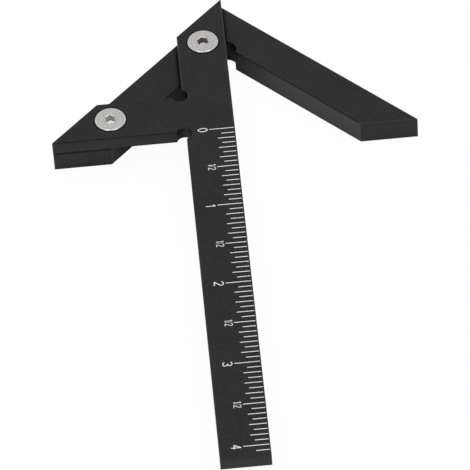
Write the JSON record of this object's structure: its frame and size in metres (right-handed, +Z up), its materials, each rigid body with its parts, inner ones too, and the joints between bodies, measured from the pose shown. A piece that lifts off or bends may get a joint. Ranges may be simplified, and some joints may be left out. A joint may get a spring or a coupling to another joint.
{
  "type": "center finder square",
  "caption": "Flat graduated blade with a side arm, screwed onto a right-angled V fence that centres round and square stock on the measuring edge.",
  "frame": {"origin": "centre of the footprint, on the surface that the V fence lies on", "axes": "+Y along the blade from its free end to the tip of the V, +Z up out of the graduated face, +X to the right, from the blade's back edge to its measuring edge"},
  "size_m": [0.09, 0.1508, 0.0104],
  "materials": {
    "black_anodised": "bead-blasted and black anodised, satin",
    "screw_steel": "turned stainless steel, bright",
    "white_fill": "matt white filling of the engraved scale"
  },
  "bodies": {
    "root": {"blade_plate": "black_anodised", "v_fence": "black_anodised", "tip_screw": "screw_steel", "arm_screw": "screw_steel", "scale_lines": "white_fill", "scale_numerals": "white_fill"}
  },
  "joints": []
}
